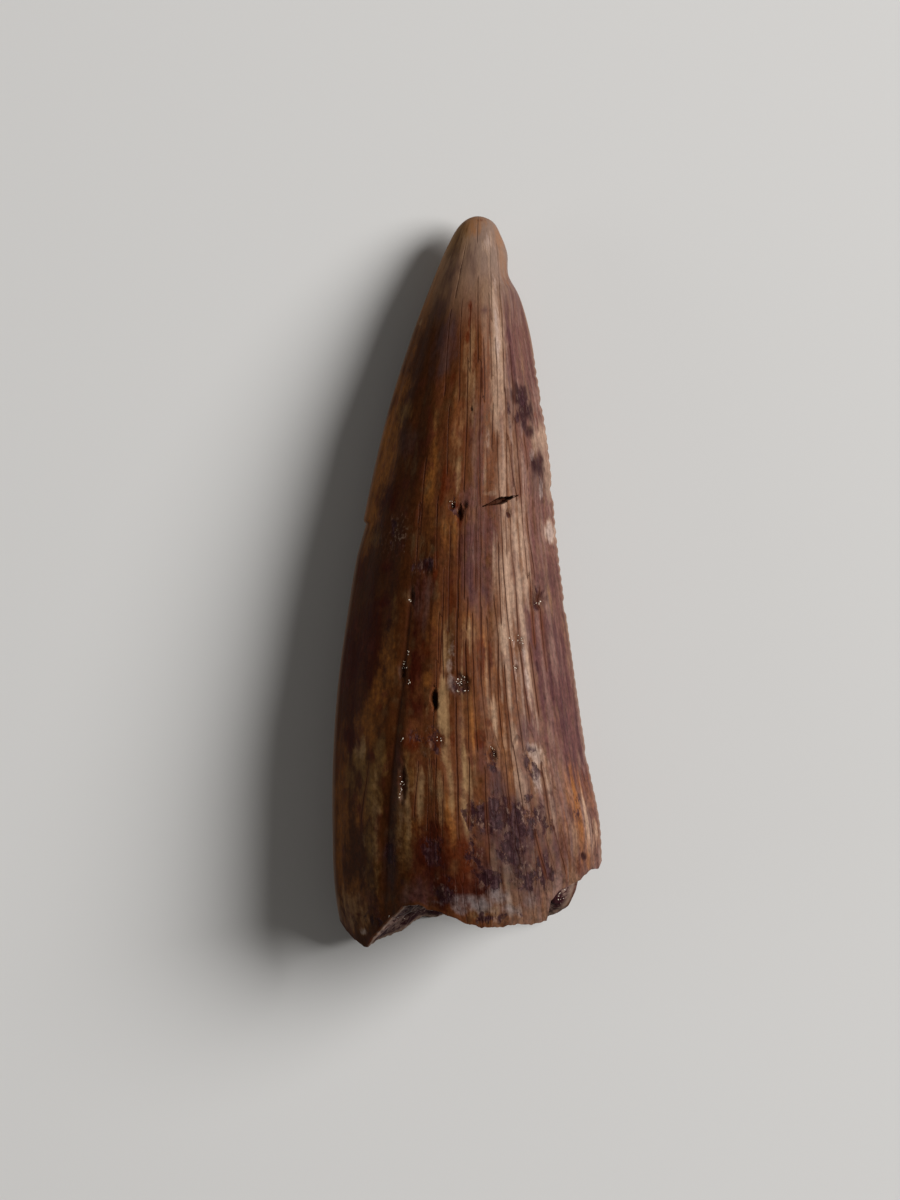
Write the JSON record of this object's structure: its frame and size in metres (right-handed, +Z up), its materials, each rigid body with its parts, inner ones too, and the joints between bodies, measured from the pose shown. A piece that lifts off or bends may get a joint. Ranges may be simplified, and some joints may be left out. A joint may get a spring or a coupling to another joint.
{
  "type": "fossil redondasaurus tooth",
  "caption": "Fossil reptile tooth crown, a curved pointed cone with one serrated edge and a broken base, lying on its flatter back with its bulged face up.",
  "frame": {"origin": "middle of the tooth's box, on the surface that the tooth lies on", "axes": "+Y along the tooth to its tip, +X across it to the serrated edge, +Z up from the surface through the bulged face"},
  "size_m": [0.0096, 0.026, 0.0058],
  "materials": {
    "stained_enamel": "satin"
  },
  "bodies": {
    "root": {"tooth": "stained_enamel"}
  },
  "joints": []
}
